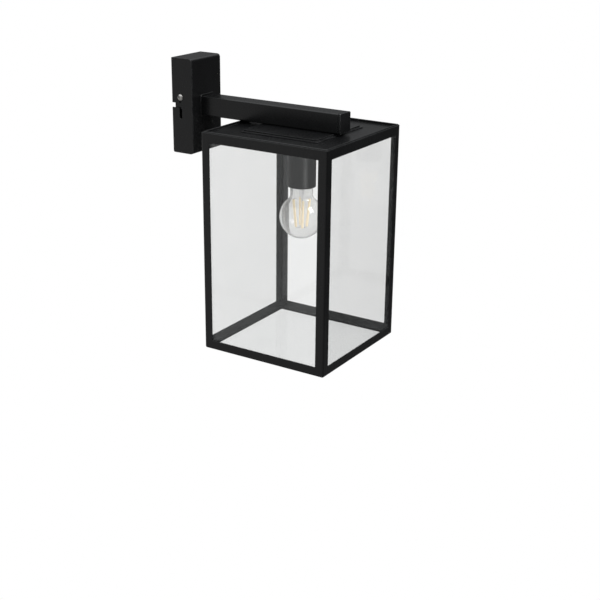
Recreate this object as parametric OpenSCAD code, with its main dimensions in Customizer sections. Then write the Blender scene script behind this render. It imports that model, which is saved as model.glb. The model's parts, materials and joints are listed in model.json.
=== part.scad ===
// Outdoor wall lantern. A glazed square lantern hangs under a square arm, which stands out
// from a tall wall box. The box hooks over two side screws on a wall bracket.
// Millimetres. +Z is up and the wall is the plane y = 0, so the lantern's front faces -Y.
// The origin is the middle of the wall bracket's back face.

/* [Lantern] */
// Width and depth of the glazed body
lantern_w = 190; // [180:1:200]
// Height of the glazed body, from its foot to the top edge of its frame
lantern_h = 301; // [290:1:330]
// Visible width of a corner post
post_w = 12.5; // [11:0.5:16]
// Visible height of a rail
rail_h = 13; // [12:0.5:16]
// Depth of the roof's recess below the top edge of the frame
roof_recess = 3.2; // [2.6:0.1:4]
// Height of the arm above the top edge of the frame
roof_gap = 1.5; // [1.3:0.1:3]
// Width of the raised plate under the arm
plate_w = 118; // [100:1:130]

/* [Glass] */
// Thickness of a side pane
glass_t = 2; // [1.8:0.1:2.4]
// Thickness of the loose floor pane
floor_glass_t = 3; // [2:0.5:4]
// Width of the ledge that the floor pane rests on
ledge_w = 6.5; // [6:0.5:8]

/* [Arm and wall box] */
// Side of the square arm tube
arm_w = 26.5; // [25:0.5:30]
// Wall of the arm tube
arm_t = 1.5; // [1.2:0.1:1.8]
// Distance from the wall to the middle of the lantern
reach = 190; // [180:1:240]
// Length of the arm past the middle of the lantern
arm_overhang = 65; // [60:1:85]
// Width of the wall box
box_w = 66; // [66:1:72]
// Depth of the wall box
box_d = 34; // [34:1:40]
// Height of the wall box
box_h = 130; // [128:1:150]

/* [Wall bracket] */
// Distance between the two wall screws
wall_screw_pitch = 70; // [60:1:76]
// Bore of the cable grommet
cable_bore = 8; // [7:0.5:10]

/* [Lamp] */
// Diameter of the bulb
bulb_d = 60; // [55:1:64]
// Height of the bulb's middle above the lantern's foot
bulb_mid = 181; // [170:1:190]
// Outside diameter of the lampholder cup
cup_d = 38; // [36.5:0.1:39]

/* [Hidden] */
$fn = 48;

coat = "#1b1c1e";   // powder-coated metal
steel = "#b9bdc1";
brass = "#c9a24a";
clear = [0.86, 0.92, 0.93, 0.35];

sheet_t = 1.2;                      // sheet metal of frame and roof
bend_r = 2.5;                       // outside radius of a bend
fit = 0.1;                          // gap round parts that are fixed together
gap = 0.3;                          // gap between parts that move apart
half = lantern_w / 2;
lantern_z = -(arm_w / 2 + roof_gap + lantern_h);
SIDES = ["front", "right", "rear", "left"];
CORNERS = ["front_left", "front_right", "rear_right", "rear_left"];

seal_t = 0.4;
top_ledge_w = 10;
tray_z = lantern_h - roof_recess;   // underside of the roof tray
tray_half = half - sheet_t - 0.3;
bead_r = 1.2;
plate_h = roof_recess - sheet_t + roof_gap;
hem_w = 3;                          // the flat hem round the raised plate
hem_t = 1.4;
pane_half = half - sheet_t - seal_t - glass_t;   // inner face of a side pane
roof_screw_y = 40;

box_t = 1.5;
box_r = 4.5;                        // outside radius of the bends at the top and the foot
box_foot_r = 2.5;                   // rounding of the sides' lower rear corners
box_back = 0.3;                     // gap between the wall and the box's back edge
flange_t = 2;
flange_w = 48;
stud_at = 18;
arm_r = 2;
cap_t = 4;
collar_w = 2;                       // trim collar round the arm, on the box
collar_l = 1.8;
cap_gap = 0.4;
plug_l = 9;
arm_y0 = -(box_d - box_t - flange_t);            // the arm's end inside the box
arm_y1 = -(reach + arm_overhang - cap_t);        // the arm's end under the end cap

plate_t = 1.5;                      // bracket plate
bracket_w = 47;
bracket_h = 100;
ear_z = [5, 20];
ear_low = -4;                       // the lugs reach down past the slots' mouths
ear_back = -4;
lug_out = box_w / 2 - box_t - 0.6;  // outer face of a bracket lug
lug_d = 20;
screw_y = -14.5;                    // side screw, from the wall
screw_z = 12;
mouth_z = 0.8;                      // middle of the slot's mouth
slot_r = 2.3;
slot_low = -14.7;
mouth_h = 6.3;
screw_r = 2;
screw_head_r = 4.5;
screw_head_h = 2.8;
slot_l = 12;                        // wall screw slot
slot_w = 5;
grommet_r = 8;

nipple_r = 5;
nipple_bore = 3.5;
nut_af = 14;
nut_h = 3.5;
m4_af = 7;
m4_nut_h = 3.2;

cup_t = 0.8;
cup_rim = bulb_mid + 42;            // the cup's open rim, above the lantern's foot
bulb_r = bulb_d / 2;
neck_r = 15.3;
fillet_r = 9;
bulb_wall = 0.9;
cap_z = bulb_mid + 48.5;            // the bulb cap's lower edge
cap_r = 13;
cap_wall = 0.3;
cap_l = 20;
cap_taper = 2.5;
tip_z = cap_z + 26.4;               // the bulb's contact tip
holder_r = 17;
holder_z = cap_z + 1;
holder_l = 34;

BLOCK_POLES = [-10.5, 0, 10.5];
block_z = -44;
block_size = [32, 15, 18];
FILAMENTS = [for (i = [0:3]) 42 + 90 * i];       // direction of each filament from the stem
filament_r = 9.5;
filament_l = 35;
filament_top = bulb_mid + 22;
wire_r = 0.4;

// The right-hand lead's route, from the terminal block through the arm to the lampholder
LEAD = [
  [10.5, -25, -31], [10.5, -25, -24], [9, -24, -16], [5, -22, -8], [2.4, -21, -1], [1.6, -23, 5],
  [1.6, -29, 7], [1.6, -40, 7], [1.6, -90, 7], [1.6, -140, 7], [1.6, 16 - reach, 7],
  [1.6, 7 - reach, 5], [1.6, 1 - reach, 0], [1.6, -reach, -8], [1.6, -reach, -22],
  [2.4, -reach, -31], [6, -reach, -39], [7, -reach, -47]
];
lead_r = 1.1;
lead_steps = 2;

// ---------- helpers ----------

module at_lantern() { translate([0, -reach, lantern_z]) children(); }

// Moves a shape made for the front side to side i
module on_side(i) { at_lantern() rotate([0, 0, 90 * i]) children(); }

module block(x, y, z) {
  translate([x[0], y[0], z[0]]) cube([x[1] - x[0], y[1] - y[0], z[1] - z[0]]);
}

module rounded_square(w, r) {
  square([w, w - 2 * r], center = true);
  square([w - 2 * r, w], center = true);
  for (x = [-1, 1], y = [-1, 1]) translate([x, y] * (w / 2 - r)) circle(r);
}

// An L of two legs, bent to an outside radius at the origin
module angle_profile(a, b) {
  translate([bend_r, 0]) square([a - bend_r, sheet_t]);
  translate([0, bend_r]) square([sheet_t, b - bend_r]);
  intersection() {
    translate([bend_r, bend_r]) difference() {
      circle(bend_r);
      circle(bend_r - sheet_t);
    }
    square(bend_r);
  }
}

// Extrudes a profile along X: its x becomes Y and its y becomes Z
module along_x(l) { rotate([90, 0, 90]) linear_extrude(l) children(); }

// Extrudes a profile away from the wall, from y0 to y1
module along_y(y0, y1) { translate([0, y0, 0]) rotate([90, 0, 0]) linear_extrude(y0 - y1) children(); }

module rod(p, axis, r, l) {
  translate(p) rotate(axis == "x" ? [0, 90, 0] : axis == "y" ? [90, 0, 0] : [0, 0, 0]) cylinder(r = r, h = l);
}

module hex_nut(af, h, bore) {
  difference() {
    cylinder(d = af / cos(30), h = h, $fn = 6);
    translate([0, 0, -1]) cylinder(r = bore, h = h + 2);
  }
}

// Catmull-Rom points through a list, the ends held
function pick(p, i) = p[max(0, min(len(p) - 1, i))];
function curve_point(p, i, t) =
  let (a = pick(p, i - 1), b = pick(p, i), c = pick(p, i + 1), d = pick(p, i + 2))
  (2 * b + (c - a) * t + (2 * a - 5 * b + 4 * c - d) * t * t
    + (3 * b - a - 3 * c + d) * t * t * t) / 2;
function curve(p, n) = concat(
  [for (i = [0:len(p) - 2], k = [0:n - 1]) curve_point(p, i, k / n)], [p[len(p) - 1]]);
function unit(v) = v / norm(v);

// A tube of radius r swept along points that all turn about nearly the X axis
module sweep(path, r, sides = 8) {
  n = len(path);
  dirs = [for (i = [0:n - 1]) unit(path[min(n - 1, i + 1)] - path[max(0, i - 1)])];
  rings = [for (i = [0:n - 1])
    let (u = unit([1, 0, 0] - dirs[i] * dirs[i][0]), v = cross(dirs[i], u))
    for (k = [0:sides - 1]) path[i] + r * (cos(360 * k / sides) * u + sin(360 * k / sides) * v)];
  walls = [for (i = [0:n - 2], k = [0:sides - 1])
    let (a = i * sides + k, b = i * sides + (k + 1) % sides) [a, a + sides, b + sides, b]];
  first = [for (k = [0:sides - 1]) k];
  last = [for (k = [sides - 1:-1:0]) (n - 1) * sides + k];
  polyhedron(points = rings, faces = concat(walls, [first, last]), convexity = 6);
}

// ---------- wall bracket and what stays on the wall ----------

module wall_slot(z) {
  for (s = [-1, 1]) rod([0, 1, z + s * (slot_l - slot_w) / 2], "y", slot_w / 2, plate_t + 2);
  block([-slot_w / 2, slot_w / 2], [-plate_t - 1, 1], [z - (slot_l - slot_w) / 2, z + (slot_l - slot_w) / 2]);
}

module wall_bracket() {
  color("#8f9296") difference() {
    union() {
      block([-1, 1] * bracket_w / 2, [-plate_t, 0], [-1, 1] * bracket_h / 2);
      block([-1, 1] * lug_out, [-plate_t, 0], ear_z);
      for (s = [-1, 1]) {
        x = s > 0 ? [lug_out - plate_t, lug_out] : [-lug_out, plate_t - lug_out];
        block(x, [-lug_d, 0], ear_z);
        block(x, [-lug_d, ear_back], [ear_low, ear_z[1]]);
      }
    }
    for (s = [-1, 1]) wall_slot(s * wall_screw_pitch / 2);
    rod([0, 1, 0], "y", grommet_r, plate_t + 2);
    rod([-lug_out - 1, screw_y, screw_z], "x", screw_r + fit, 2 * lug_out + 2);
  }
}

module cable_grommet() {
  color("#222222") difference() {
    union() {
      rod([0, 0, 0], "y", grommet_r - fit, plate_t);
      rod([0, -plate_t, 0], "y", grommet_r + 2, 2);
    }
    rod([0, 1, 0], "y", cable_bore / 2, plate_t + 4);
  }
}

module lug_nuts() {
  color(steel) for (s = [-1, 1])
    translate([s * (lug_out - plate_t), screw_y, screw_z]) rotate([0, -90 * s, 0])
      hex_nut(m4_af, m4_nut_h, screw_r + fit);
}

// Button-head screw with a hexagon socket, pointing along -Z from under its head at the origin
module side_screw() {
  socket_af = 3;
  dome_r = 5.5;
  difference() {
    union() {
      intersection() {
        cylinder(r = screw_head_r, h = screw_head_h);
        translate([0, 0, screw_head_h - dome_r]) sphere(dome_r);
      }
      translate([0, 0, -9]) cylinder(r = screw_r, h = 9.5);
    }
    translate([0, 0, screw_head_h - 1.8]) cylinder(d = socket_af / cos(30), h = 3, $fn = 6);
  }
}

module side_screws() {
  color(steel) for (s = [-1, 1])
    translate([s * (box_w / 2 + gap), screw_y, screw_z]) rotate([0, 90 * s, 0]) side_screw();
}

module earth_stud() { color(steel) rod([0, -plate_t, -44], "y", screw_r, 9); }

module earth_nut() {
  color(brass) translate([0, -plate_t, -44]) rotate([90, 0, 0]) hex_nut(m4_af, m4_nut_h, screw_r + fit);
}

// ---------- wall box and arm ----------

// The box seen from the side, from o inside its outer face back to y1; its x is Y, its y is Z
module box_profile(o, y1) {
  r = box_r - o;
  z = box_h / 2 - o;
  translate([r + o - box_d, -z]) square([box_d - r - o + y1, 2 * z]);
  translate([o - box_d, r - z]) square([r, 2 * (z - r)]);
  for (s = [-1, 1]) translate([r + o - box_d, s * (z - r)]) circle(r);
}

// The opening in one side: in from the wall edge, then up to the screw and down
module hook_slot() {
  l = box_w / 2 + 5;
  for (z = [screw_z, slot_low]) rod([0, screw_y, z], "x", slot_r, l);
  block([0, l], [screw_y - slot_r, screw_y + slot_r], [slot_low, screw_z]);
  block([0, l], [screw_y, 1], [mouth_z - mouth_h / 2, mouth_z + mouth_h / 2]);
}

// Top, front and foot in one bent strip, let in between the two sides
module box_shell() {
  l = box_w / 2 - box_t;
  color(coat) difference() {
    translate([-l, 0, 0]) along_x(2 * l) difference() {
      box_profile(0, -box_back);
      box_profile(box_t, 1);
    }
    block([-box_w, box_w], [-box_back - box_foot_r, 1], [-box_h / 2 - 1, 0]);
    along_y(arm_y0, -box_d - 1) rounded_square(arm_w + 2 * fit, arm_r + fit);
  }
}

module box_side() {
  color(coat) difference() {
    translate([box_w / 2 - box_t, 0, 0]) along_x(box_t) difference() {
      box_profile(0, -box_back);
      translate([-box_back - box_foot_r, box_foot_r - box_h / 2]) mirror([0, 1]) difference() {
        square(box_foot_r + 1);
        circle(box_foot_r);
      }
    }
    hook_slot();
  }
}

module box_side_right() { box_side(); }
module box_side_left() { mirror([1, 0, 0]) box_side(); }

module arm_flange() {
  color("#8f9296") difference() {
    along_y(arm_y0, arm_y0 - flange_t) square(flange_w, center = true);
    along_y(arm_y0 + 1, arm_y0 - flange_t - 1) rounded_square(arm_w + 2 * fit, arm_r + fit);
    for (x = [-1, 1], z = [-1, 1])
      rod([x * stud_at, arm_y0 + 1, z * stud_at], "y", screw_r + gap, flange_t + 2);
  }
}

module flange_studs() {
  color(steel) for (x = [-1, 1], z = [-1, 1])
    rod([x * stud_at, arm_y0 + 6, z * stud_at], "y", screw_r, 6 + flange_t);
}

module flange_nuts() {
  color(steel) for (x = [-1, 1], z = [-1, 1])
    translate([x * stud_at, arm_y0 + m4_nut_h, z * stud_at]) rotate([90, 0, 0])
      hex_nut(m4_af, m4_nut_h, screw_r + fit);
}

module terminal_block() {
  y0 = box_t - box_d;
  color("#e8e6df") difference() {
    block([-1, 1] * block_size[0] / 2, [y0, y0 + block_size[1]], [block_z, block_z + block_size[2]]);
    for (x = BLOCK_POLES) {
      rod([x, -25, block_z - 1], "z", 1.6, block_size[2] + 2);
      for (z = [5, 13]) rod([x, y0 + block_size[1] + 1, block_z + z], "y", 2.3, 5);
    }
  }
}

module terminal_screws() {
  y1 = box_t - box_d + block_size[1];
  color(brass) for (x = BLOCK_POLES, z = [5, 13]) difference() {
    rod([x, y1 - 0.6, block_z + z], "y", 2.2, 3.3);
    block([x - 2.5, x + 2.5], [y1 - 1.4, y1], [block_z + z - 0.3, block_z + z + 0.3]);
  }
}

module arm_tube() {
  color(coat) difference() {
    along_y(arm_y0, arm_y1) difference() {
      rounded_square(arm_w, arm_r);
      rounded_square(arm_w - 2 * arm_t, arm_r - 1);
    }
    rod([0, -reach, -arm_w], "z", nipple_r + fit, arm_w);
    for (s = [-1, 1]) rod([0, -reach + s * roof_screw_y, -arm_w], "z", screw_r + fit, arm_w);
  }
}

module arm_end_cap() {
  plug_w = arm_w - 2 * arm_t - 2 * fit;
  color(coat) {
    along_y(arm_y1 - cap_gap, arm_y1 - cap_t) rounded_square(arm_w, arm_r);
    along_y(arm_y1 + plug_l, arm_y1 - cap_gap) difference() {
      rounded_square(plug_w, arm_r - 1);
      rounded_square(plug_w - 4, 1);
    }
  }
}

module arm_collar() {
  inner_w = arm_w + 2 * fit;
  color(coat) along_y(-box_d, -box_d - collar_l) difference() {
    rounded_square(inner_w + 2 * collar_w, arm_r + collar_w);
    rounded_square(inner_w, arm_r + fit);
  }
}

module lead_right() { color("#3a3f4a") sweep(curve(LEAD, lead_steps), lead_r); }

module lead_left() {
  color("#6b4a38") mirror([1, 0, 0]) sweep(curve(LEAD, lead_steps), lead_r);
}

// ---------- roof ----------

module threaded_nipple() {
  color(steel) difference() {
    rod([0, -reach, -24.5], "z", nipple_r, 17.5);
    rod([0, -reach, -30], "z", nipple_bore, 30);
  }
}

module nipple_top_nut() {
  color(steel) translate([0, -reach, arm_t - arm_w / 2]) hex_nut(nut_af, nut_h, nipple_r + fit);
}

module nipple_lock_nut() {
  color(steel) translate([0, -reach, lantern_z + tray_z - 1 - nut_h]) hex_nut(nut_af, nut_h, nipple_r + fit);
}

module roof_screws() {
  head_h = 2.4;
  under = lantern_z + tray_z;
  color(steel) for (s = [-1, 1]) translate([0, -reach + s * roof_screw_y, under]) {
    translate([0, 0, -head_h]) cylinder(r1 = 3, r2 = screw_head_r, h = head_h);
    cylinder(r = screw_r, h = 12);
  }
}

// Bores that the nipple and the two roof screws pass through
module roof_bores(h) {
  translate([0, 0, -1]) cylinder(r = nipple_r + fit, h = h);
  for (s = [-1, 1]) translate([0, s * roof_screw_y, -1]) cylinder(r = screw_r + fit, h = h);
}

module roof_plate() {
  raised_w = plate_w - 2 * hem_w;
  color(coat) at_lantern() translate([0, 0, tray_z + sheet_t]) difference() {
    union() {
      linear_extrude(hem_t) rounded_square(plate_w, bend_r);
      linear_extrude(plate_h) rounded_square(raised_w, bend_r);
    }
    translate([0, 0, -1]) linear_extrude(plate_h - sheet_t + 1) square(raised_w - 2 * sheet_t, center = true);
    roof_bores(plate_h + 2);
  }
}

module roof_tray() {
  wall = tray_half - bead_r;       // middle of the upstand and of the bead on it
  color(coat) at_lantern() difference() {
    union() {
      translate([0, 0, tray_z]) linear_extrude(sheet_t) square(2 * wall + sheet_t, center = true);
      translate([0, 0, tray_z]) linear_extrude(roof_recess) difference() {
        square(2 * wall + sheet_t, center = true);
        square(2 * wall - sheet_t, center = true);
      }
      for (i = [0:3]) rotate([0, 0, 90 * i]) {
        rod([-wall, -wall, lantern_h], "x", bead_r, 2 * wall);
        translate([-wall, -wall, lantern_h]) sphere(bead_r);
      }
    }
    translate([0, 0, tray_z]) roof_bores(sheet_t + 2);
  }
}

// ---------- frame ----------

module post(i) {
  color(coat) on_side(i) translate([-half, -half, 0]) linear_extrude(lantern_h) angle_profile(post_w, post_w);
}

// The ends of a ledge, inside the posts' bends and mitred against the next side's ledge
module ledge_end(w) {
  in = bend_r - 0.6 * (bend_r - sheet_t);
  for (s = [0, 1]) mirror([s, 0, 0]) linear_extrude(sheet_t) polygon([
    [half - post_w, sheet_t - half], [half - bend_r, sheet_t - half], [half - in, in - half],
    [half - w, w - half], [half - post_w, w - half]]);
}

module bottom_rail(i) {
  color(coat) on_side(i) {
    translate([post_w - half, -half, 0]) along_x(lantern_w - 2 * post_w) angle_profile(ledge_w, rail_h);
    ledge_end(ledge_w);
  }
}

module top_rail(i) {
  ledge_z = tray_z - sheet_t;
  color(coat) on_side(i) {
    translate([post_w - half, -half, 0]) along_x(lantern_w - 2 * post_w) {
      translate([0, lantern_h - rail_h]) square([sheet_t, rail_h]);
      translate([0, ledge_z]) square([top_ledge_w, sheet_t]);
    }
    translate([0, 0, ledge_z]) ledge_end(top_ledge_w);
  }
}

module post_front_left() { post(0); }
module post_front_right() { post(1); }
module post_rear_right() { post(2); }
module post_rear_left() { post(3); }
module top_rail_front() { top_rail(0); }
module top_rail_right() { top_rail(1); }
module top_rail_rear() { top_rail(2); }
module top_rail_left() { top_rail(3); }
module bottom_rail_front() { bottom_rail(0); }
module bottom_rail_right() { bottom_rail(1); }
module bottom_rail_rear() { bottom_rail(2); }
module bottom_rail_left() { bottom_rail(3); }

// ---------- glazing ----------

// Front and rear panes stand between the left and right ones
module pane(i) {
  w = i % 2 == 0 ? pane_half - 0.2 : half - bend_r + 0.4;
  z1 = tray_z - sheet_t - 0.5;
  color(clear) on_side(i) block([-w, w], [-pane_half - glass_t, -pane_half], [bend_r - 0.5, z1]);
}

// Four strips of sealant between a pane and the frame
module seal(i) {
  y = [sheet_t - half, sheet_t + seal_t - half];
  x = [half - post_w + 1, pane_half - 0.4];
  color("#15161a") on_side(i) {
    for (s = [0, 1]) mirror([s, 0, 0]) block(x, y, [rail_h, lantern_h - rail_h]);
    block([-1, 1] * x[0], y, [bend_r + 0.5, rail_h - 1.5]);
    block([-1, 1] * x[0], y, [lantern_h - rail_h + 1.5, tray_z - sheet_t - 0.8]);
  }
}

module pane_front() { pane(0); }
module pane_right() { pane(1); }
module pane_rear() { pane(2); }
module pane_left() { pane(3); }
module seal_front() { seal(0); }
module seal_right() { seal(1); }
module seal_rear() { seal(2); }
module seal_left() { seal(3); }

module floor_pane() {
  w = pane_half - 0.4;
  color(clear) at_lantern() block([-w, w], [-w, w], [sheet_t + gap, sheet_t + gap + floor_glass_t]);
}

// ---------- lampholder ----------

module lampholder_cup() {
  color(coat) at_lantern() difference() {
    translate([0, 0, cup_rim]) cylinder(d = cup_d, h = tray_z - cup_rim);
    translate([0, 0, cup_rim - 1]) cylinder(r = cup_d / 2 - cup_t, h = tray_z - cup_rim);
    translate([0, 0, tray_z - 5]) cylinder(r = nipple_r + fit, h = 10);
  }
}

module holder_posts() {
  z0 = holder_z + holder_l;
  color(steel) at_lantern() for (s = [-1, 1])
    translate([0, s * 13, z0]) cylinder(r = screw_r, h = tray_z - 1 - z0);
}

module lampholder_body() {
  base_t = 6;
  color("#ece9e2") at_lantern() translate([0, 0, holder_z]) difference() {
    cylinder(r = holder_r, h = holder_l);
    translate([0, 0, -1]) cylinder(r = cap_r + 1, h = holder_l - base_t + 1);
    cylinder(r = 1.6, h = holder_l + 1);
  }
}

module lampholder_shell() {
  color(brass) at_lantern() translate([0, 0, holder_z + 0.5]) difference() {
    cylinder(r = cap_r + 0.9, h = cap_l);
    translate([0, 0, -1]) cylinder(r = cap_r + 0.4, h = cap_l + 2);
  }
}

module holder_contact() {
  z0 = tip_z + gap;
  color(brass) at_lantern() {
    translate([0, 0, z0]) cylinder(r = 4.5, h = 0.6);
    translate([0, 0, z0]) cylinder(r = 1.5, h = holder_z + holder_l - z0);
    translate([0, 0, holder_z + holder_l]) cylinder(r = 3, h = 1.5);
  }
}

module holder_terminals() {
  color(brass) at_lantern() for (s = [-1, 1])
    translate([s * LEAD[len(LEAD) - 1][0], 0, holder_z + holder_l]) difference() {
      translate([-2.5, -2.5, 0]) cube([5, 5, 6]);
      translate([0, 0, 1]) cylinder(r = 1.4, h = 6);
    }
}

// ---------- bulb ----------

// Points along an arc
function arc(c, r, a0, a1, n) = [for (i = [0:n])
  c + r * [cos(a0 + (a1 - a0) * i / n), sin(a0 + (a1 - a0) * i / n)]];

// The glass outline from its lowest point to its top inside the cap, moved inwards by o
function bulb_side(o) =
  let (fx = neck_r + fillet_r, up = sqrt(pow(bulb_r + fillet_r, 2) - fx * fx), a = atan2(up, fx))
  concat(
    arc([0, bulb_mid], bulb_r - o, -90, a, 24),
    arc([fx, bulb_mid + up], fillet_r + o, 180 + a, 180, 6),
    [[cap_r - o, cap_z - 0.5], [cap_r - 0.6 - o, cap_z - 0.3], [cap_r - 0.6 - o, cap_z + 6]]);
function reverse(p) = [for (i = [len(p) - 1:-1:0]) p[i]];

module bulb_glass() {
  color([0.93, 0.95, 0.95, 0.3]) at_lantern() rotate_extrude($fn = 96)
    polygon(concat(bulb_side(0), reverse(bulb_side(bulb_wall))));
}

module bulb_cap() {
  color("#c6c8ca") at_lantern() translate([0, 0, cap_z]) difference() {
    union() {
      cylinder(r = cap_r, h = cap_l);
      translate([0, 0, cap_l]) cylinder(r1 = cap_r, r2 = 9.4, h = cap_taper);
    }
    translate([0, 0, -1]) cylinder(r = cap_r - cap_wall, h = cap_l + 1);
    translate([0, 0, cap_l]) cylinder(r1 = cap_r - cap_wall, r2 = 9.1, h = cap_taper);
    translate([0, 0, cap_l]) cylinder(r = 9.1, h = cap_taper + 1);
  }
}

module bulb_insulator() {
  color("#26221f") at_lantern() translate([0, 0, cap_z + cap_l + 1]) difference() {
    union() {
      cylinder(r = 9, h = 1.5);
      translate([0, 0, 1.5]) cylinder(r1 = 9, r2 = 5.2, h = 2.4);
    }
    translate([0, 0, -1]) cylinder(r = 1.55, h = 6);
  }
}

module bulb_contact() {
  color("#c6c8ca") at_lantern() {
    translate([0, 0, tip_z - 1.2]) cylinder(r1 = 4.8, r2 = 4, h = 1.2);
    translate([0, 0, tip_z - 4]) cylinder(r = 1.5, h = 3);
  }
}

module bulb_stem() {
  color([0.9, 0.93, 0.92, 0.4]) at_lantern() {
    translate([0, 0, cap_z + 3]) cylinder(r = cap_r - 0.6 - bulb_wall - 0.1, h = 1);
    translate([0, 0, filament_top + 8]) cylinder(r = 4, h = cap_z + 3 - filament_top - 8);
    translate([0, 0, filament_top + 3]) cylinder(r1 = 1.6, r2 = 4, h = 5);
    translate([0, 0, filament_top - filament_l - 2]) cylinder(r = 1, h = filament_l + 6);
  }
}

// Wires from the stem to both ends of each filament
module bulb_wires() {
  low = filament_top - filament_l;
  color(steel) at_lantern() for (a = FILAMENTS) rotate([0, 0, a]) {
    for (z = [low - 1, filament_top + 1.2])
      translate([1.1, 0, z]) rotate([0, 90, 0]) cylinder(r = wire_r, h = filament_r - 1.1 + wire_r);
    translate([filament_r, 0, low - 1]) cylinder(r = wire_r, h = 0.9);
    translate([filament_r, 0, filament_top + 0.1]) cylinder(r = wire_r, h = 1.1);
  }
}

module bulb_filaments() {
  color("#e7b35a") at_lantern() for (a = FILAMENTS) rotate([0, 0, a])
    translate([filament_r, 0, filament_top - filament_l]) cylinder(r = 1.2, h = filament_l);
}

wall_bracket();
cable_grommet();
lug_nuts();
side_screws();
earth_stud();
earth_nut();
box_shell();
box_side_right();
box_side_left();
arm_flange();
flange_studs();
flange_nuts();
terminal_block();
terminal_screws();
arm_tube();
arm_end_cap();
arm_collar();
lead_left();
lead_right();
threaded_nipple();
nipple_top_nut();
nipple_lock_nut();
roof_screws();
roof_plate();
roof_tray();
post_front_left();
post_front_right();
post_rear_right();
post_rear_left();
top_rail_front();
top_rail_right();
top_rail_rear();
top_rail_left();
bottom_rail_front();
bottom_rail_right();
bottom_rail_rear();
bottom_rail_left();
pane_front();
pane_right();
pane_rear();
pane_left();
seal_front();
seal_right();
seal_rear();
seal_left();
floor_pane();
lampholder_cup();
holder_posts();
lampholder_body();
lampholder_shell();
holder_contact();
holder_terminals();
bulb_contact();
bulb_insulator();
bulb_cap();
bulb_glass();
bulb_stem();
bulb_wires();
bulb_filaments();
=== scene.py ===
import json
import math

import bmesh
import bpy
from mathutils import Matrix, Vector


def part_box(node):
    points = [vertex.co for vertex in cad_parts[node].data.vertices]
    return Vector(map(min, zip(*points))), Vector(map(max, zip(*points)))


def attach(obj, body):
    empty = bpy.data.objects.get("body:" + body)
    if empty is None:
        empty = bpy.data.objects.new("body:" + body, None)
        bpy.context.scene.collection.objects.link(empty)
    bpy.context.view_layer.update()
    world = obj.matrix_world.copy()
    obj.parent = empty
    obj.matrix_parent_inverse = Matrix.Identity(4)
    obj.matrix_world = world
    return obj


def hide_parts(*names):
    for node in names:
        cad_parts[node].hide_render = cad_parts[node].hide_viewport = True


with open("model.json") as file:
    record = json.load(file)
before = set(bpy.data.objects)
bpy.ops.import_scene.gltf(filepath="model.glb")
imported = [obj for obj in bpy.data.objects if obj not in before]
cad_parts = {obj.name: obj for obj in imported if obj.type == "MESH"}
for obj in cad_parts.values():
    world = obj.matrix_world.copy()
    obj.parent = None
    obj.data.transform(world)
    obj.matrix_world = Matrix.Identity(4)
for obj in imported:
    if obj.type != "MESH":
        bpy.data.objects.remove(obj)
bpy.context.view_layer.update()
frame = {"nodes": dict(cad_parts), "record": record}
NODES = frame["nodes"]

MM = 0.001
TAU = 2 * math.pi


# ---------------------------------------------------------------- sizes from the CAD model
def span(node):
    """A CAD node's lowest and highest corners at rest, in millimetres."""
    return [[round(c / MM, 2) for c in corner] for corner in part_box(node)]


POST_LOW, POST_HIGH = span("post_front_left")
TOP_RAIL_LOW, TOP_RAIL_HIGH = span("top_rail_front")
FOOT_RAIL_LOW, FOOT_RAIL_HIGH = span("bottom_rail_front")
FOOT = POST_LOW[2]                           # the lantern's foot, below the arm's centreline
HALF = -POST_LOW[0]                          # half the width of the glazed body
REACH = -POST_LOW[1] - HALF                  # wall to the middle of the lantern
HEIGHT = POST_HIGH[2] - FOOT
POST_W = POST_HIGH[0] - POST_LOW[0]
RAIL_H = FOOT_RAIL_HIGH[2] - FOOT_RAIL_LOW[2]
TOP_LEDGE = TOP_RAIL_HIGH[1] - TOP_RAIL_LOW[1]       # inward reach of the ledge under the roof
FOOT_LEDGE = FOOT_RAIL_HIGH[1] - FOOT_RAIL_LOW[1]    # inward reach of the ledge under the floor pane
TRAY_Z = span("roof_tray")[0][2] - FOOT      # underside of the roof tray, above the lantern's foot
SHEET = 1.2                                  # thickness of the frame's sheet metal
BEND = 2.5                                   # outside radius of the posts' bends
FOOT_BEND = 2.5                              # rounding of the frame's lowest edge
BEND_STEPS = 5


def at_lantern(x, y, z):
    """A point given from the middle of the lantern's foot, in millimetres, in the row frame."""
    return Vector((x * MM, (y - REACH) * MM, (z + FOOT) * MM))


# ---------------------------------------------------------------- camera and lamps
CAMERA_PLACE = (-1.27702, -0.98925, 0.30530)
CAMERA_YAW, CAMERA_PITCH, CAMERA_ROLL = 1.0111, -0.3565, 0.0107      # in radians; yaw 0 looks along +Y
CAMERA_LENS, CAMERA_SENSOR = 69.51, 36.0


def make_camera():
    """The camera: where it stands, where it looks and its lens."""
    yaw, pitch, roll = CAMERA_YAW, CAMERA_PITCH, CAMERA_ROLL
    ahead = Vector((math.sin(yaw) * math.cos(pitch), math.cos(yaw) * math.cos(pitch), math.sin(pitch)))
    flat_right = Vector((math.cos(yaw), -math.sin(yaw), 0.0))
    flat_up = flat_right.cross(ahead)
    right = flat_right * math.cos(roll) + flat_up * math.sin(roll)
    up = flat_up * math.cos(roll) - flat_right * math.sin(roll)
    data = bpy.data.cameras.new("camera")
    data.lens, data.sensor_width = CAMERA_LENS, CAMERA_SENSOR
    data.clip_start, data.clip_end = 0.05, 60.0
    cam = bpy.data.objects.new("camera", data)
    bpy.context.collection.objects.link(cam)
    turn = Matrix((right, up, -ahead)).transposed().to_4x4()
    cam.matrix_world = Matrix.Translation(CAMERA_PLACE) @ turn
    bpy.context.scene.camera = cam


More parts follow.
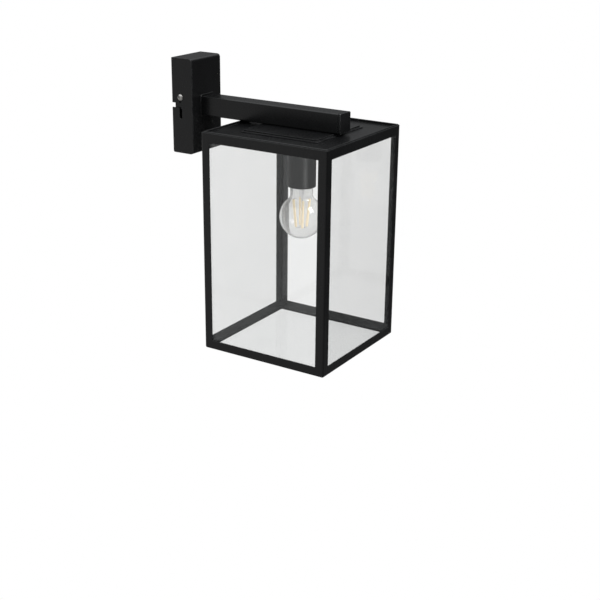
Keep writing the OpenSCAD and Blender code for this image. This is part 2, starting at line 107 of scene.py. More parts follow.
def area_light(name, target, way, distance, size, power):
    """A soft lamp that stands this way from its target and shines on it, unseen by the camera."""
    data = bpy.data.lights.new(name, "AREA")
    data.shape, data.size, data.size_y = "RECTANGLE", size[0], size[1]
    data.energy = power
    light = bpy.data.objects.new(name, data)
    light.location = target + Vector(way).normalized() * distance
    light.rotation_mode = "QUATERNION"
    light.rotation_quaternion = (target - light.location).to_track_quat("-Z", "Y")
    light.visible_camera = False
    bpy.context.collection.objects.link(light)
    return light


# ---------------------------------------------------------------- material helpers
class Graph:
    """A short way to write a material's nodes."""

    def __init__(self, name):
        self.mat = bpy.data.materials.new(name)
        self.mat.use_nodes = True
        self.tree = self.mat.node_tree
        self.tree.nodes.clear()
        self.out = self.tree.nodes.new("ShaderNodeOutputMaterial")

    def add(self, kind, **inputs):
        """A new node, with its settings and its inputs by name."""
        node = self.tree.nodes.new("ShaderNode" + kind)
        for key, value in inputs.items():
            self.put(node, key, value)
        return node

    def put(self, node, key, value):
        """Sets a node's setting, or an input by its name or as i0, i1 and so on by its number."""
        if hasattr(node, key) and key.islower() and not isinstance(value, bpy.types.NodeSocket):
            setattr(node, key, value)
            return
        if key[0] == "i" and key[1:].isdigit():
            target = node.inputs[int(key[1:])]
        else:
            target = node.inputs[key.replace("_", " ")]
        if isinstance(value, bpy.types.NodeSocket):
            self.tree.links.new(value, target)
        else:
            target.default_value = value

    def math(self, operation, a, b):
        node = self.add("Math", operation=operation)
        self.put(node, "i0", a)
        self.put(node, "i1", b)
        return node.outputs[0]

    def noise(self, scale, detail=3.0, rough=0.5):
        node = self.add("TexNoise", Scale=scale, Detail=detail, Roughness=rough)
        self.put(node, "Vector", self.add("TexCoord").outputs["Object"])
        return node.outputs[0]

    def remap(self, value, low, high, to_low=0.0, to_high=1.0):
        """Value from low to high as to_low to to_high, held at the ends."""
        node = self.add("MapRange")
        for i, v in enumerate((value, low, high, to_low, to_high)):
            self.put(node, "i%d" % i, v)
        return node.outputs[0]

    def blend(self, factor, a, b):
        """A colour between a and b."""
        node = self.tree.nodes.new("ShaderNodeMix")
        node.data_type = "RGBA"
        for i, v in ((0, factor), (6, a), (7, b)):
            if isinstance(v, bpy.types.NodeSocket):
                self.tree.links.new(v, node.inputs[i])
            else:
                node.inputs[i].default_value = v
        return node.outputs[2]

    def bump(self, height, distance, strength=1.0, normal=None):
        node = self.add("Bump", Strength=strength, Distance=distance)
        self.put(node, "Height", height)
        if normal is not None:
            self.put(node, "Normal", normal)
        return node.outputs[0]

    def finish(self, shader):
        self.tree.links.new(shader, self.out.inputs["Surface"])
        return self.mat


def rgba(r, g, b):
    return (r, g, b, 1.0)


COAT_LOW, COAT_HIGH = (0.0040, 0.0042, 0.0045), (0.0056, 0.0058, 0.0062)
COAT_WORN_AND_HIGHLIGHT = (0.085, 0.087, 0.090)
COAT_GRAIN, COAT_PEEL, COAT_PATCH, COAT_CLOUD = 1400.0, 420.0, 160.0, 22.0      # noise scales
EDGE_REACH = 1.1 * MM      # how far from a sharp edge the paler edge tone reaches: a painted highlight, partly thin-coat wear
EDGE_WEAR_AND_HIGHLIGHT = 0.8            # how much paler the edge tone is: a painted highlight, partly wear


def powder_coat(name, smooth, rough):
    """Satin black powder coat with a fine texture. Its sharp edges are painted paler: a painted highlight
    along them, partly thin-coat wear.

    Its roughness runs from smooth to rough.
    """
    g = Graph(name)
    grain = g.noise(COAT_GRAIN, 2.0, 0.6)
    peel = g.noise(COAT_PEEL, 2.0, 0.5)
    cloud = g.noise(COAT_CLOUD, 3.0, 0.55)
    round_edge = g.add("Bevel", samples=6, Radius=EDGE_REACH)
    likeness = g.add("VectorMath", operation="DOT_PRODUCT")
    g.put(likeness, "i0", round_edge.outputs[0])
    g.put(likeness, "i1", g.add("NewGeometry").outputs["True Normal"])
    edge = g.remap(likeness.outputs["Value"], 0.975, 0.86)
    patchy = g.remap(g.noise(COAT_PATCH, 3.0, 0.6), 0.35, 0.6, 0.25, 1.0)
    # the edges' paler tone is a painted highlight, partly thin-coat wear
    wear_and_highlight = g.math("MULTIPLY", g.math("MULTIPLY", edge, patchy), EDGE_WEAR_AND_HIGHLIGHT)
    tone = g.blend(g.remap(cloud, 0.35, 0.65), rgba(*COAT_LOW), rgba(*COAT_HIGH))
    tone = g.blend(wear_and_highlight, tone, rgba(*COAT_WORN_AND_HIGHLIGHT))
    marks = g.math("ADD", g.math("MULTIPLY", grain, 0.6), g.math("MULTIPLY", cloud, 0.4))
    normal = g.bump(grain, 0.04 * MM, 0.5)
    normal = g.bump(peel, 0.06 * MM, 0.3, normal)
    shader = g.add("BsdfPrincipled", Base_Color=tone, Roughness=g.remap(marks, 0.3, 0.7, smooth, rough),
                   Normal=normal)
    shader.inputs["Specular IOR Level"].default_value = 0.38
    return g.finish(shader.outputs[0])


METAL_MARKS, METAL_DEPTH = 600.0, 0.02 * MM      # scale of a metal's fine marks, and their depth
PLASTIC_GRAIN, PLASTIC_DEPTH = 300.0, 0.03 * MM


def metal(name, low, high, rough, scale=METAL_MARKS):
    """A bare or plated metal with fine marks."""
    g = Graph(name)
    marks = g.noise(scale, 4.0, 0.6)
    cloud = g.noise(scale * 0.08, 3.0)
    tone = g.blend(g.remap(cloud, 0.35, 0.65), rgba(*low), rgba(*high))
    worn = g.math("ADD", g.math("MULTIPLY", marks, 0.5), g.math("MULTIPLY", cloud, 0.5))
    shader = g.add("BsdfPrincipled", Base_Color=tone, Metallic=1.0,
                   Roughness=g.remap(worn, 0.3, 0.7, *rough), Normal=g.bump(marks, METAL_DEPTH, 0.5))
    return g.finish(shader.outputs[0])


def dull(name, low, high, rough):
    """Plastic, rubber, ceramic: two close tones, with roughness and bump from one noise."""
    g = Graph(name)
    grain = g.noise(PLASTIC_GRAIN, 4.0, 0.55)
    cloud = g.noise(PLASTIC_GRAIN * 0.06, 3.0)
    tone = g.blend(g.remap(cloud, 0.35, 0.65), rgba(*low), rgba(*high))
    shader = g.add("BsdfPrincipled", Base_Color=tone, Roughness=g.remap(grain, 0.3, 0.7, *rough),
                   Normal=g.bump(grain, PLASTIC_DEPTH, 0.6))
    return g.finish(shader.outputs[0])


GLASS_IOR = 1.5


def clear_glass(name, tint, tint_low, mirror_share):
    """Clear sheet glass: it lets light straight through and mirrors by the angle, on each face."""
    g = Graph(name)
    back = g.add("NewGeometry").outputs["Backfacing"]
    ior = g.remap(back, 0.0, 1.0, GLASS_IOR, 1.0 / GLASS_IOR)
    mirror = g.add("Fresnel")
    g.put(mirror, "IOR", ior)
    cloud = g.noise(30.0, 3.0)
    tone = g.blend(g.remap(cloud, 0.35, 0.65), rgba(*tint_low), rgba(*tint))
    through = g.add("BsdfTransparent")
    g.put(through, "Color", tone)
    gloss = g.add("BsdfGlossy")
    gloss.inputs["Roughness"].default_value = 0.0
    gloss.inputs["Color"].default_value = rgba(0.95, 0.97, 0.97)
    share = g.math("MULTIPLY", mirror.outputs[0], mirror_share)
    mixed = g.add("MixShader")
    g.put(mixed, "i0", share)
    g.put(mixed, "i1", through.outputs[0])
    g.put(mixed, "i2", gloss.outputs[0])
    return g.finish(mixed.outputs[0])


BULB_CLEARNESS = 0.87      # the rest is a faint white haze


def blown_glass():
    """The bulb's thin clear glass, which bends light; lamps shine through it."""
    g = Graph("blown_glass")
    ripple = g.noise(25.0, 1.0, 0.4)
    tone = g.blend(ripple, rgba(0.972, 0.974, 0.972), rgba(0.99, 0.99, 0.988))
    glass = g.add("BsdfPrincipled", Base_Color=tone, Normal=g.bump(ripple, 0.4 * MM, 0.25))
    glass.inputs["Roughness"].default_value = 0.0
    glass.inputs["IOR"].default_value = GLASS_IOR
    glass.inputs["Transmission Weight"].default_value = BULB_CLEARNESS
    clear = g.add("BsdfTransparent")
    lamp = g.add("LightPath").outputs["Is Shadow Ray"]
    mixed = g.add("MixShader")
    g.put(mixed, "i0", lamp)
    g.put(mixed, "i1", glass.outputs[0])
    g.put(mixed, "i2", clear.outputs[0])
    return g.finish(mixed.outputs[0])


FILAMENT_GLOW = 0.30       # a slight light of its own, so that the sticks show through the glass


def filament_coat():
    """Amber phosphor over the filament stick, banded a little along its length."""
    g = Graph("filament_coat")
    grain = g.noise(900.0, 3.0, 0.6)
    bands = g.noise(140.0, 2.0, 0.5)
    tone = g.blend(g.remap(bands, 0.3, 0.7), rgba(0.90, 0.72, 0.44), rgba(0.95, 0.83, 0.58))
    shader = g.add("BsdfPrincipled", Base_Color=tone, Roughness=g.remap(grain, 0.3, 0.7, 0.4, 0.6),
                   Normal=g.bump(grain, PLASTIC_DEPTH, 0.5))
    shader.inputs["Emission Color"].default_value = rgba(1.0, 0.80, 0.52)
    shader.inputs["Emission Strength"].default_value = FILAMENT_GLOW
    return g.finish(shader.outputs[0])


# Metals and plastics have a darker and a lighter tone, and the least and most roughness. Sheet glass has
# two tints, and how much it mirrors over what plain glass does.
MATERIALS = {
    "black_coat": powder_coat("powder_coat", 0.23, 0.32),
    "cup_coat": powder_coat("cup_coat", 0.35, 0.42),
    "zinc_plate": metal("zinc_plate", (0.42, 0.43, 0.45), (0.55, 0.56, 0.58), (0.38, 0.55), 260.0),
    "plated_steel": metal("plated_steel", (0.50, 0.51, 0.53), (0.62, 0.63, 0.64), (0.28, 0.42)),
    "stainless": metal("stainless", (0.44, 0.43, 0.41), (0.56, 0.55, 0.53), (0.26, 0.38)),
    "brass": metal("brass", (0.52, 0.36, 0.12), (0.66, 0.47, 0.18), (0.22, 0.38)),
    "rubber": dull("rubber", (0.012, 0.012, 0.012), (0.02, 0.02, 0.02), (0.6, 0.75)),
    "terminal_plastic": dull("terminal_plastic", (0.66, 0.63, 0.56), (0.72, 0.70, 0.63), (0.4, 0.5)),
    "lead_brown": dull("lead_brown", (0.13, 0.055, 0.028), (0.16, 0.07, 0.035), (0.4, 0.5)),
    "lead_blue": dull("lead_blue", (0.025, 0.06, 0.19), (0.035, 0.075, 0.23), (0.4, 0.5)),
    "window_glass": clear_glass("window_glass", (0.988, 0.989, 0.988), (0.983, 0.985, 0.984), 1.2),
    "floor_glass": clear_glass("floor_glass", (0.992, 0.995, 0.994), (0.986, 0.99, 0.989), 0.75),
    "sealant": dull("sealant", (0.010, 0.010, 0.011), (0.016, 0.016, 0.017), (0.45, 0.6)),
    "ceramic": dull("ceramic", (0.74, 0.72, 0.66), (0.80, 0.78, 0.72), (0.14, 0.24)),
    "cap_insulator": dull("cap_insulator", (0.012, 0.010, 0.010), (0.02, 0.018, 0.016), (0.1, 0.2)),
    "nickel": metal("nickel", (0.55, 0.54, 0.51), (0.66, 0.65, 0.61), (0.18, 0.3)),
    "bulb_glass": blown_glass(),
    "filament": filament_coat(),
}


def dress(obj, look):
    """Gives a piece its one material."""
    obj.data.materials.clear()
    obj.data.materials.append(MATERIALS[look])


# ---------------------------------------------------------------- mesh helpers
POINTS_A_METRE = 1e7       # points are told apart to this fraction of a metre


class Shell:
    """Collects faces whose points may repeat, and makes one closed mesh of them."""

    def __init__(self):
        self.bm = bmesh.new()
        self.points = {}

    def point(self, p):
        key = tuple(round(c * POINTS_A_METRE) for c in p)
        if key not in self.points:
            self.points[key] = self.bm.verts.new(p)
        return self.points[key]

    def face(self, *corners):
        kept = []
        for p in corners:
            v = self.point(p)
            if v not in kept:
                kept.append(v)
        if len(kept) > 2 and self.bm.faces.get(kept) is None:
            self.bm.faces.new(kept)

    def done(self):
        bmesh.ops.recalc_face_normals(self.bm, faces=self.bm.faces)
        return self.bm


def piece(name, bm, slot, body, stands_for, smooth):
    """Makes an object of a bmesh, rides it on its body and lets it stand for CAD nodes.

    Edges up to smooth degrees look round.
    """
    mesh = bpy.data.meshes.new(name)
    bm.to_mesh(mesh)
    bm.free()
    obj = bpy.data.objects.new(name, mesh)
    bpy.context.collection.objects.link(obj)
    mesh.shade_smooth()
    mesh.set_sharp_from_angle(angle=math.radians(smooth))
    dress(obj, slot)
    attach(obj, body)
    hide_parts(*stands_for)
    return obj


WELD_REACH = 0.002 * MM
FLAT_ANGLE = math.radians(0.4)       # faces that turn less than this are one flat face
SHARP_ANGLE = math.radians(32)


def soften(obj, width, dissolve=True):
    """Rounds an object's sharp edges with real geometry, after joining the triangles of flat faces."""
    weld = obj.modifiers.new("weld", "WELD")
    weld.merge_threshold = WELD_REACH
    if dissolve:
        flat = obj.modifiers.new("flat", "DECIMATE")
        flat.decimate_type, flat.angle_limit = "DISSOLVE", FLAT_ANGLE
    bevel = obj.modifiers.new("bevel", "BEVEL")
    bevel.width, bevel.segments = width * MM, 2
    bevel.limit_method, bevel.angle_limit = "ANGLE", SHARP_ANGLE
    bevel.use_clamp_overlap = True
    normals = obj.modifiers.new("normals", "WEIGHTED_NORMAL")
    normals.keep_sharp = True
    obj.data.shade_smooth()


# ---------------------------------------------------------------- the lantern's frame
def wall_ring(inset):
    """Points of the frame's wall in plan, this far inside its outer face, and how many a side has."""
    edge = HALF - POST_W
    inset = min(inset, BEND)
    side = [(x, -HALF + inset) for x in (-HALF + BEND, -edge, edge, HALF - BEND)]
    corner = []
    for i in range(1, BEND_STEPS):
        a = -math.pi / 2 + math.pi / 2 * i / BEND_STEPS
        r = BEND - inset
        corner.append((HALF - BEND + r * math.cos(a), -HALF + BEND + r * math.sin(a)))
    quarter = side + corner
    points = []
    for turn in range(4):
        c, s = round(math.cos(turn * math.pi / 2)), round(math.sin(turn * math.pi / 2))
        points += [(x * c - y * s, x * s + y * c) for x, y in quarter]
    return points, len(quarter)


def ledge_ring(ring, reach):
    """The same points moved in square, to the edge of a ledge that reaches in this far."""
    limit = HALF - reach
    return [tuple(max(-limit, min(limit, c)) for c in p) for p in ring]


def foot_bend(thickness):
    """Inset and height along the bend at the foot, on the face this far inside the outer one."""
    angles = [math.pi / 2 * k / BEND_STEPS for k in range(BEND_STEPS + 1)]
    r = FOOT_BEND - thickness
    return [(FOOT_BEND - r * math.sin(a), FOOT_BEND - r * math.cos(a)) for a in angles]


def frame_cage():
    """Posts and rails as one seamless coated frame, with its ledges and its four openings."""
    ledge_z = TRAY_Z - SHEET
    window_z = HEIGHT - RAIL_H
    outer, per_side = wall_ring(0.0)
    inner, foot = wall_ring(SHEET)[0], wall_ring(FOOT_BEND)[0]
    low, top = ledge_ring(inner, FOOT_LEDGE), ledge_ring(inner, TOP_LEDGE)
    shell = Shell()

    def quad(a, b, za, zb, i):
        """A face from ring a at one height to ring b at another, between point i and the next."""
        j = (i + 1) % len(outer)
        shell.face(at_lantern(*a[i], za), at_lantern(*a[j], za),
                   at_lantern(*b[j], zb), at_lantern(*b[i], zb))

    for i in range(len(outer)):
        window = i % per_side == 1
        for bent in (foot_bend(0.0), foot_bend(SHEET)):
            for (inset0, z0), (inset1, z1) in zip(bent, bent[1:]):
                quad(wall_ring(inset0)[0], wall_ring(inset1)[0], z0, z1, i)
        quad(outer, outer, FOOT_BEND, RAIL_H, i)
        quad(inner, inner, FOOT_BEND, RAIL_H, i)
        if not window:
            quad(outer, outer, RAIL_H, window_z, i)
            quad(inner, inner, RAIL_H, window_z, i)
        quad(outer, outer, window_z, HEIGHT, i)
        quad(inner, inner, window_z, ledge_z, i)
        quad(inner, inner, TRAY_Z, HEIGHT, i)
        for a, b, z in ((outer, inner, HEIGHT), (foot, low, 0.0), (foot, low, SHEET), (inner, top, ledge_z),
                        (inner, top, TRAY_Z)):
            quad(a, b, z, z, i)
        quad(low, low, 0.0, SHEET, i)
        quad(top, top, ledge_z, TRAY_Z, i)
        if window:
            for z in (RAIL_H, window_z):
                quad(outer, inner, z, z, i)
            for k in (i, i + 1):
                shell.face(at_lantern(*outer[k], RAIL_H), at_lantern(*inner[k], RAIL_H),
                           at_lantern(*inner[k], window_z), at_lantern(*outer[k], window_z))
    bm = shell.done()
    bmesh.ops.dissolve_limit(bm, angle_limit=FLAT_ANGLE, verts=bm.verts, edges=bm.edges)
    names = ["post_" + corner for corner in ("front_left", "front_right", "rear_right", "rear_left")]
    for rail in ("top_rail_", "bottom_rail_"):
        names += [rail + side for side in ("front", "right", "rear", "left")]
    cage = piece("frame_cage", bm, "black_coat", "lantern", names, 30)
    soften(cage, 0.3, dissolve=False)


# ---------------------------------------------------------------- round pieces
def turned(outline_at, steps):
    """A closed mesh about the lamp's axis, from the closed outline of (radius, height) at each angle."""
    shell = Shell()
    columns = []
    for k in range(steps):
        turn = TAU * k / steps
        c, s = math.cos(turn), math.sin(turn)
        columns.append([at_lantern(r * c, r * s, z) for r, z in outline_at(turn)])
    n = len(columns[0])
    for k in range(steps):
        a, b = columns[k], columns[(k + 1) % steps]
        for i in range(n):
            j = (i + 1) % n
            shell.face(a[i], b[i], b[j], a[j])
    return shell.done()


def lathe(outline, steps):
    """Turns one outline about the lamp's axis. Its ends join, on the axis or off it."""
    return turned(lambda turn: outline, steps)


def rounded(points, radius, steps=4):
    """Rounds an outline's corners, by less than half of the shorter side."""
    out = []
    n = len(points)
    for i, p in enumerate(points):
        here, before, after = Vector(p), Vector(points[i - 1]), Vector(points[(i + 1) % n])
        back, on = before - here, after - here
        r = min(radius, back.length * 0.45, on.length * 0.45)
        a, b = here + back.normalized() * r, here + on.normalized() * r
        for k in range(steps + 1):
            t = k / steps
            q = a * (1 - t) ** 2 + here * 2 * t * (1 - t) + b * t * t
            out.append((q.x, q.y))
    return out


def arc(cx, cz, r, start, end, steps):
    """Points of an arc in the plane of radius and height, by angle in degrees."""
    out = []
    for k in range(steps + 1):
        a = math.radians(start + (end - start) * k / steps)
        out.append((cx + r * math.cos(a), cz + r * math.sin(a)))
    return out


def smooth_path(points, steps):
    """Catmull-Rom points through a list, the ends held."""
    pts = [Vector(p) for p in points]
    out = []
    for i in range(len(pts) - 1):
        a, b, c, d = (pts[max(0, min(len(pts) - 1, i + k))] for k in (-1, 0, 1, 2))
        for k in range(steps):
            t = k / steps
            out.append((2 * b + (c - a) * t + (2 * a - 5 * b + 4 * c - d) * t ** 2
                        + (3 * b - a - 3 * c + d) * t ** 3) / 2)
    return out + [pts[-1]]


END_SHARE, END_REACH = 0.75, 0.4       # a rod's chamfered end: its radius and length, over the rod's radius


def tube(shell, path, radius, sides):
    """Adds a round rod along a path in millimetres, with chamfered ends."""
    n = len(path)
    ways = [(path[min(n - 1, i + 1)] - path[max(0, i - 1)]).normalized() for i in range(n)]
    u = ways[0].orthogonal().normalized()
    rings = []
    stations = [(0, END_SHARE, -END_REACH)]
    stations += [(i, 1.0, 0.0) for i in range(n)]
    stations += [(n - 1, END_SHARE, END_REACH)]
    for i, share, reach in stations:
        u = (u - ways[i] * u.dot(ways[i])).normalized()
        v = ways[i].cross(u)
        middle = path[i] + ways[i] * radius * reach
        rings.append([(middle + (u * math.cos(TAU * k / sides) + v * math.sin(TAU * k / sides))
                       * radius * share) * MM for k in range(sides)])
    for a, b in zip(rings, rings[1:]):
        for k in range(sides):
            j = (k + 1) % sides
            shell.face(a[k], a[j], b[j], b[k])
    shell.face(*rings[0])
    shell.face(*rings[-1])


# ---------------------------------------------------------------- bulb and lampholder
BULB_R = 30.0
BULB_MID = span("bulb_glass")[0][2] + BULB_R - FOOT
NECK_R, FILLET_R, BULB_WALL = 15.3, 9.0, 0.6
CAP_LOW, CAP_HIGH = span("bulb_cap")
CAP_Z, CAP_R, CAP_L = CAP_LOW[2] - FOOT, CAP_HIGH[0], 20.0
CAP_WALL, CAP_MINOR_R = 0.3, 12.2
CAP_THREAD_Z = CAP_Z + 5.2               # where the cap's thread starts
TIP_Z = span("bulb_contact")[1][2] - FOOT
HOLDER_LOW, HOLDER_HIGH = span("lampholder_shell")
HOLDER_Z, HOLDER_R, HOLDER_WALL = HOLDER_LOW[2] - FOOT, HOLDER_HIGH[0], 0.4
HOLDER_THREAD_Z = HOLDER_Z + 6.5
THREAD_GAP = 0.85                        # in radius, from the cap's thread to the lampholder's
PITCH = 3.629                            # the E27 thread's pitch
THREAD_STEP = 0.36                       # between the rings of a threaded tube
THREAD_FADE = 1.4                        # over which a thread rises from a plain end
FILAMENT_TOP, FILAMENT_LOW = 204.0, 167.0
FILAMENT_WIDE, FILAMENT_NARROW = 11.0, 7.5       # from the axis, at the top and below
FILAMENT_R, WIRE_R = 1.8, 0.35
FILAMENT_WAYS = [math.radians(42 + 90 * i) for i in range(4)]


def bulb_wall(o):
    """The bulb's outline from its lowest point up into the cap, o inside its outer face."""
    fx = NECK_R + FILLET_R
    up = math.sqrt((BULB_R + FILLET_R) ** 2 - fx * fx)
    a = math.degrees(math.atan2(up, fx))
    body = arc(0.0, BULB_MID, BULB_R - o, -90, a, 48)
    neck = arc(fx, BULB_MID + up, FILLET_R + o, 180 + a, 180, 12)[1:]
    shoulder = [(NECK_R, -6.0), (NECK_R - 0.5, -4.2), (CAP_R + 0.6, -2.4), (CAP_R - 0.1, -1.2),
                (CAP_R - 0.6, -0.2), (CAP_R - 0.6, 5.5)]
    return body + neck + [(r - o, CAP_Z + z) for r, z in shoulder]


def plain(radius):
    """A radius that is the same at every angle."""
    return lambda turn: radius


def thread(z, low, high, minor, major, below, above):
    """A height, and the radius by angle there, of a right-hand thread that fades into plain ends."""
    def radius(turn):
        wave = 0.5 + 0.5 * math.cos(TAU * z / PITCH - turn)
        t = max(0.0, min(1.0, (z - low) / THREAD_FADE))
        u = max(0.0, min(1.0, (high - z) / THREAD_FADE))
        t, u = t * t * (3 - 2 * t), u * u * (3 - 2 * u)
        r = minor + (major - minor) * wave
        return below * (1 - t) + (above * (1 - u) + r * u) * t
    return z, radius


def screw_tube(levels, wall):
    """A thin tube about the lamp's axis, from each level's height and its radius by angle."""
    def outline_at(turn):
        outer = [(radius(turn), z) for z, radius in levels]
        return outer + [(r - wall, z) for r, z in outer[::-1]]
    return turned(outline_at, 72)


def make_glass():
    """The bulb's envelope and the glass stem inside it."""
    envelope = bulb_wall(0.0) + bulb_wall(BULB_WALL)[::-1]
    piece("bulb_envelope", lathe(envelope, 128), "bulb_glass", "bulb", ["bulb_glass"], 50)
    low, top = FILAMENT_LOW, FILAMENT_TOP
    stem = [(0, low - 2.6), (0.7, low - 2.3), (1.0, low - 1.6), (1.0, top + 2.0), (1.3, top + 3.6),
            (2.6, top + 6.0), (3.6, top + 8.2), (4.0, top + 11.0)]
    stem += [(r, CAP_Z + z) for r, z in ((4.0, -5.0), (4.6, -2.0), (6.6, 0.6), (9.4, 2.4), (11.5, 3.4),
                                         (11.5, 4.3), (0, 4.3))]
    piece("bulb_stem_glass", lathe(stem, 48), "bulb_glass", "bulb", ["bulb_stem"], 50)


def make_filaments():
    """Four slanting filament sticks, each on a curved wire at its top and its foot."""
    low, top = FILAMENT_LOW, FILAMENT_TOP
    rings = 30
    ends = ((top + 1.6, top - 0.2, FILAMENT_WIDE, 1), (low - 1.6, low + 0.2, FILAMENT_NARROW, -1))
    wires, sticks = Shell(), Shell()
    for way in FILAMENT_WAYS:
        c, s = math.cos(way), math.sin(way)
        for level, end, out, up in ends:
            reach = [(1.2, level + 0.3 * up), (out * 0.5, level + 0.5 * up), (out * 0.82, level + 0.3 * up),
                     (out * 0.96, level - 0.2 * up), (out, level - 0.9 * up), (out, end)]
            tube(wires, smooth_path([at_lantern(r * c, r * s, z) / MM for r, z in reach], 5), WIRE_R, 10)
        line = []
        for k in range(rings + 1):
            t = k / rings
            r = FILAMENT_NARROW + (FILAMENT_WIDE - FILAMENT_NARROW) * t
            line.append(at_lantern(r * c, r * s, low + (top - low) * t) / MM)
        tube(sticks, line, FILAMENT_R, 20)
    piece("bulb_lead_wires", wires.done(), "nickel", "bulb", ["bulb_wires"], 50)
    piece("bulb_filament_sticks", sticks.done(), "filament", "bulb", ["bulb_filaments"], 60)


def make_cap():
    """The bulb's screw cap, the insulator at its end and the round contact on that."""
    levels = [(CAP_Z, plain(CAP_R - 0.25)), (CAP_Z + 0.3, plain(CAP_R))]
    levels += [thread(CAP_THREAD_Z + THREAD_STEP * k, CAP_THREAD_Z, CAP_Z + CAP_L,
                      CAP_MINOR_R, CAP_R, CAP_R, CAP_MINOR_R) for k in range(42)]
    end = [(0.5, 12.0), (1.2, 11.2), (2.0, 10.0), (2.4, 9.4)]
    levels += [(CAP_Z + CAP_L + z, plain(r)) for z, r in end]
    piece("bulb_screw_cap", screw_tube(levels, CAP_WALL), "nickel", "bulb", ["bulb_cap"], 60)
    ring = [(1.55, 1.0), (9.0, 1.0), (9.0, 2.5), (5.2, 4.9), (1.55, 4.9)]
    ring = rounded([(r, CAP_Z + CAP_L + z) for r, z in ring], 0.5)
    piece("bulb_cap_insulator", lathe(ring, 64), "cap_insulator", "bulb", ["bulb_insulator"], 40)
    tip = [(r, TIP_Z - z) for r, z in ((0, 4.0), (1.5, 4.0), (1.5, 1.3), (4.6, 1.2), (4.8, 0.9), (4.2, 0.4),
                                       (2.4, 0.06), (0, 0.0))]
    piece("bulb_tip_contact", lathe(tip, 48), "nickel", "bulb_tip", ["bulb_contact"], 40)


def make_lampholder_shell():
    """The lampholder's threaded brass shell, a running fit round the bulb's thread."""
    levels = [(HOLDER_Z, plain(HOLDER_R)), (HOLDER_Z + 3.0, plain(HOLDER_R))]
    levels += [thread(HOLDER_THREAD_Z + THREAD_STEP * k, HOLDER_THREAD_Z, HOLDER_Z + CAP_L - 1.0,
                      CAP_MINOR_R + THREAD_GAP, HOLDER_R, HOLDER_R, HOLDER_R) for k in range(35)]
    levels += [(HOLDER_Z + CAP_L, plain(HOLDER_R))]
    shell = screw_tube(levels, HOLDER_WALL)
    piece("holder_screw_shell", shell, "brass", "lantern", ["lampholder_shell"], 60)


# ---------------------------------------------------------------- leads in the arm
# The right lead's route, in millimetres in the row frame: up from the terminal block, through the arm
# and down the nipple to the lampholder. The left lead's is its mirror image.
LEAD = [
    (10.5, -25, -31), (10.5, -25, -24), (9, -24, -16), (5, -22, -8), (2.4, -21, -1), (1.6, -23, 5),
    (1.6, -29, 7), (1.6, -40, 7), (1.6, -90, 7), (1.6, -140, 7), (1.6, -174, 7),
    (1.6, -183, 5), (1.6, -189, 0), (1.6, -190, -8), (1.6, -190, -22),
    (2.4, -190, -31), (6, -190, -39), (7, -190, -47)]
LEAD_R = 1.1


def make_leads():
    """The two leads, each a smooth round wire."""
    for name, slot, side in (("lead_right", "lead_blue", 1), ("lead_left", "lead_brown", -1)):
        shell = Shell()
        tube(shell, smooth_path([(side * x, y, z) for x, y, z in LEAD], 6), LEAD_R, 20)
        piece(name + "_wire", shell.done(), slot, "lantern", [name], 50)


# ---------------------------------------------------------------- CAD nodes that stay
# Nodes whose edges are rounded, and by how many millimetres
SOFT_EDGES = {
    "arm_tube": 0.3, "arm_end_cap": 0.6, "arm_collar": 0.5, "roof_plate": 0.6, "roof_tray": 0.15,
    "box_shell": 0.25, "box_side_left": 0.3, "box_side_right": 0.3, "side_screws": 0.25,
    "wall_bracket": 0.25, "cable_grommet": 0.5, "lug_nuts": 0.25, "earth_nut": 0.3,
    "arm_flange": 0.25, "flange_nuts": 0.3, "terminal_block": 0.5, "terminal_screws": 0.2,
    "nipple_top_nut": 0.4, "nipple_lock_nut": 0.4,
    "lampholder_cup": 0.3, "lampholder_body": 0.5, "holder_terminals": 0.3,
    "pane_front": 0.2, "pane_right": 0.2, "pane_rear": 0.2, "pane_left": 0.2, "floor_pane": 0.3,
}
# Nodes whose look is a variant of their slot's own
LOOK_OF = {"floor_pane": "floor_glass", "lampholder_cup": "cup_coat"}


def finish_nodes():
    """Gives each CAD node its material and, where it has some, its rounded edges."""
    slot_of = {s["node"]: s["material_slot"] for s in frame["record"]["subparts"]}
    for node, obj in NODES.items():
        dress(obj, LOOK_OF.get(node, slot_of[node]))
        if node in SOFT_EDGES:
            soften(obj, SOFT_EDGES[node])


# ---------------------------------------------------------------- stage and light
FLOOR_Z, FLOOR_HALF = -0.62, 14.0
FLOOR_DIM, FLOOR_BRIGHT = 0.05, 0.50      # the floor's light, front right and back left
FLOOR_FADE = 1.2                          # the light changes from this far on one side to the other
SKY_COLOUR = (0.97, 0.985, 1.0, 1.0)
SKY_BASE = 0.06
# Soft light by direction: (towards, cosine where it starts, cosine where it is full, strength)
SKY_LIGHTS = [
    ((0.0, 0.0, 1.0), 0.40, 0.76, 1.2),
    ((0.794, 0.497, 0.349), 0.75, 1.0, 0.10),
    ((-0.95, 0.2, 0.25), 0.2, 0.95, 0.25),
]
# Lamps: the way from the target to the lamp, the distance and size in metres, and the power in watts
SOFTBOX = ((0.075, -0.665, 0.743), 1.5, (0.55, 1.4), 19.4)
STRIP = ((-0.521, -0.778, -0.349), 0.9, (0.36, 0.5), 3.6)
STRIP_TARGET_Z = 255.0                    # the middle of what shows of the cup
STRIP_NODES = ("lampholder_cup", "arm_end_cap")


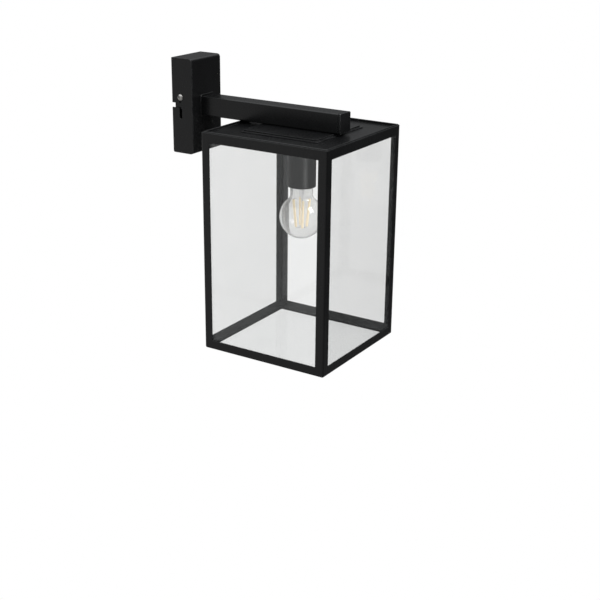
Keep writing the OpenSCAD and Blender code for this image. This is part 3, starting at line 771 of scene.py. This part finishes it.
def floor_material():
    """Plain white floor. It sends the lantern less light from the front right than from the back left."""
    g = Graph("floor_paper")
    at = g.add("SeparateXYZ")
    g.put(at, "i0", g.add("NewGeometry").outputs["Position"])
    left, back = g.math("MULTIPLY", at.outputs[0], -0.85), g.math("MULTIPLY", at.outputs[1], 0.53)
    across = g.math("ADD", left, back)
    light = g.remap(across, -FLOOR_FADE, FLOOR_FADE, FLOOR_DIM, FLOOR_BRIGHT)
    light = g.math("ADD", light, g.math("MULTIPLY", g.noise(2.0, 1.0), 0.02))
    glow = g.add("Emission")
    g.put(glow, "Strength", light)
    plain_white = g.add("Emission")
    seen = g.add("LightPath")
    white = g.math("MAXIMUM", seen.outputs["Is Camera Ray"], seen.outputs["Is Transmission Ray"])
    mixed = g.add("MixShader")
    g.put(mixed, "i0", white)
    g.put(mixed, "i1", glow.outputs[0])
    g.put(mixed, "i2", plain_white.outputs[0])
    return g.finish(mixed.outputs[0])


def make_floor():
    """A wide floor under the lantern, which isn't part of it."""
    bm = bmesh.new()
    bmesh.ops.create_grid(bm, x_segments=2, y_segments=2, size=FLOOR_HALF)
    mesh = bpy.data.meshes.new("floor")
    bm.to_mesh(mesh)
    bm.free()
    mesh.materials.append(floor_material())
    floor = bpy.data.objects.new("floor", mesh)
    floor.location = (0, 0, FLOOR_Z)
    bpy.context.collection.objects.link(floor)


def make_sky():
    """The studio: white to the camera, soft panels of light overhead, at the back and at the left."""
    world = bpy.data.worlds.new("studio")
    bpy.context.scene.world = world
    world.use_nodes = True
    tree = world.node_tree
    tree.nodes.clear()

    def math_node(operation, a, b):
        node = tree.nodes.new("ShaderNodeMath")
        node.operation = operation
        for i, v in enumerate((a, b)):
            if isinstance(v, bpy.types.NodeSocket):
                tree.links.new(v, node.inputs[i])
            else:
                node.inputs[i].default_value = v
        return node.outputs[0]

    way = tree.nodes.new("ShaderNodeTexCoord").outputs["Generated"]
    total = SKY_BASE
    for towards, start, full, strength in SKY_LIGHTS:
        dot = tree.nodes.new("ShaderNodeVectorMath")
        dot.operation = "DOT_PRODUCT"
        tree.links.new(way, dot.inputs[0])
        dot.inputs[1].default_value = Vector(towards).normalized()
        fade = tree.nodes.new("ShaderNodeMapRange")
        fade.interpolation_type = "SMOOTHSTEP"
        tree.links.new(dot.outputs["Value"], fade.inputs[0])
        for i, v in ((1, start), (2, full), (3, 0.0), (4, strength)):
            fade.inputs[i].default_value = v
        total = math_node("ADD", fade.outputs[0], total)
    soft = tree.nodes.new("ShaderNodeBackground")
    tree.links.new(total, soft.inputs["Strength"])
    soft.inputs["Color"].default_value = SKY_COLOUR
    white = tree.nodes.new("ShaderNodeBackground")
    white.inputs["Color"].default_value = (1.0, 1.0, 1.0, 1.0)
    path = tree.nodes.new("ShaderNodeLightPath")
    mixed = tree.nodes.new("ShaderNodeMixShader")
    seen = math_node("MAXIMUM", path.outputs["Is Camera Ray"], path.outputs["Is Transmission Ray"])
    tree.links.new(seen, mixed.inputs[0])
    tree.links.new(soft.outputs[0], mixed.inputs[1])
    tree.links.new(white.outputs[0], mixed.inputs[2])
    out = tree.nodes.new("ShaderNodeOutputWorld")
    tree.links.new(mixed.outputs[0], out.inputs["Surface"])


def make_lamps():
    """A softbox above the front of the lantern, and a strip light on the cup and the arm's end only."""
    area_light("softbox", at_lantern(0, 0, BULB_MID), *SOFTBOX)
    strip = area_light("strip", at_lantern(0, 0, STRIP_TARGET_Z), *STRIP)
    receivers = bpy.data.collections.new("strip_lights")
    for node in STRIP_NODES:
        receivers.objects.link(NODES[node])
    strip.light_linking.receiver_collection = receivers


def set_rendering():
    """Plain colours, and enough bounces for light to pass all the panes and the bulb."""
    view = bpy.context.scene.view_settings
    view.view_transform, view.look = "Standard", "None"
    bpy.context.scene.cycles.max_bounces = 12
    bpy.context.scene.cycles.transparent_max_bounces = 24


# ---------------------------------------------------------------- the whole
make_camera()
finish_nodes()
frame_cage()
make_glass()
make_filaments()
make_cap()
make_lampholder_shell()
make_leads()
make_floor()
make_sky()
make_lamps()
set_rendering()
